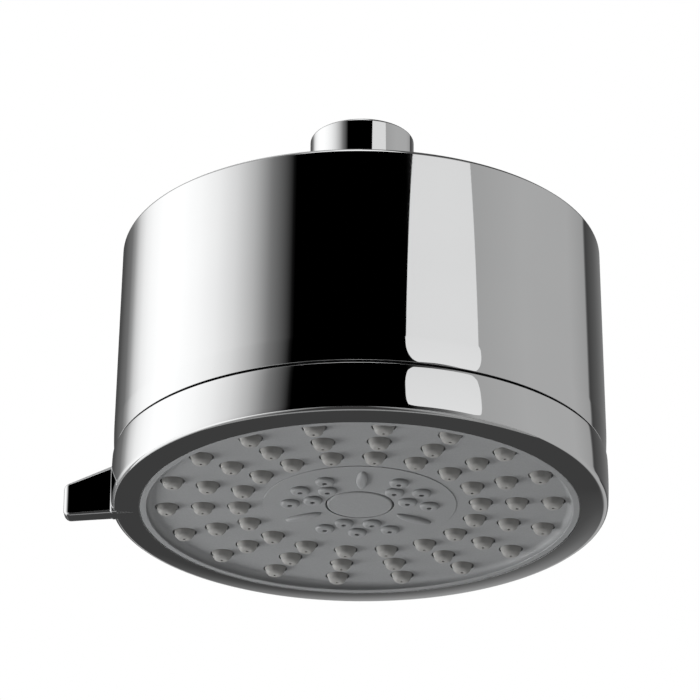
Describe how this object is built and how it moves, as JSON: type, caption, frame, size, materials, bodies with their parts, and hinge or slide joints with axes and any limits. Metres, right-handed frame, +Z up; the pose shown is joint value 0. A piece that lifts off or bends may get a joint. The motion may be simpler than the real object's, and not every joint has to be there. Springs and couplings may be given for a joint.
{
  "type": "shower head",
  "caption": "Fixed round shower head: plated drum on a ball joint, selector ring with thumb lever, soft nozzles round a massage disc, threaded inlet.",
  "frame": {"origin": "centre of the inlet mouth, at the top of the collar", "axes": "+Z up out of the inlet along its axis, -X towards the thumb lever at the middle setting"},
  "size_m": [0.1207, 0.11, 0.0927],
  "materials": {
    "plated": "polished",
    "grey_plastic": "matte",
    "nozzle_rubber": "matte",
    "black_rubber": "matte",
    "white_plastic": "satin",
    "dark_plastic": "satin",
    "steel": "satin"
  },
  "bodies": {
    "inlet": {"inlet_connector": "plated", "inlet_washer": "black_rubber", "filter_screen": "steel", "flow_restrictor": "white_plastic", "restrictor_ring_seal": "black_rubber"},
    "ball_seat": {"ball_friction_ring": "white_plastic"},
    "head": {"body_shell": "plated", "ball_nut": "plated", "ball_seal": "black_rubber", "water_manifold": "dark_plastic", "port_plate": "dark_plastic", "port_plate_ring_seal": "black_rubber", "port_plate_screws": "steel", "port_seal": "black_rubber", "spindle_ring_seal": "black_rubber", "detent_spring": "steel", "detent_screw": "steel", "centre_screw": "steel", "centre_screw_washer": "steel"},
    "spray_face": {"selector_ring": "plated", "face_plate": "grey_plastic", "nozzle_mat": "nozzle_rubber", "centre_spray_disc": "grey_plastic", "centre_cap": "grey_plastic", "distributor_plate": "dark_plastic", "jet_plate": "white_plastic"},
    "turbine": {"turbine_rotor": "white_plastic"}
  },
  "joints": [
    {"name": "head_swivel", "type": "hinge", "parent": "inlet", "child": "ball_seat", "pos_m": [0, 0, -0.02956], "axis": [0, 0, 1], "continuous": true},
    {"name": "head_tilt", "type": "hinge", "parent": "ball_seat", "child": "head", "pos_m": [0, 0, -0.02956], "axis": [1, 0, 0], "range_deg": [-15, 15]},
    {"name": "selector_turn", "type": "hinge", "parent": "head", "child": "spray_face", "pos_m": [0, 0, -0.077], "axis": [0, 0, 1], "range_deg": [-45, 45], "deforming": ["detent_spring"]},
    {"name": "turbine_spin", "type": "hinge", "parent": "spray_face", "child": "turbine", "pos_m": [0, 0, -0.085], "axis": [0, 0, 1], "continuous": true}
  ]
}
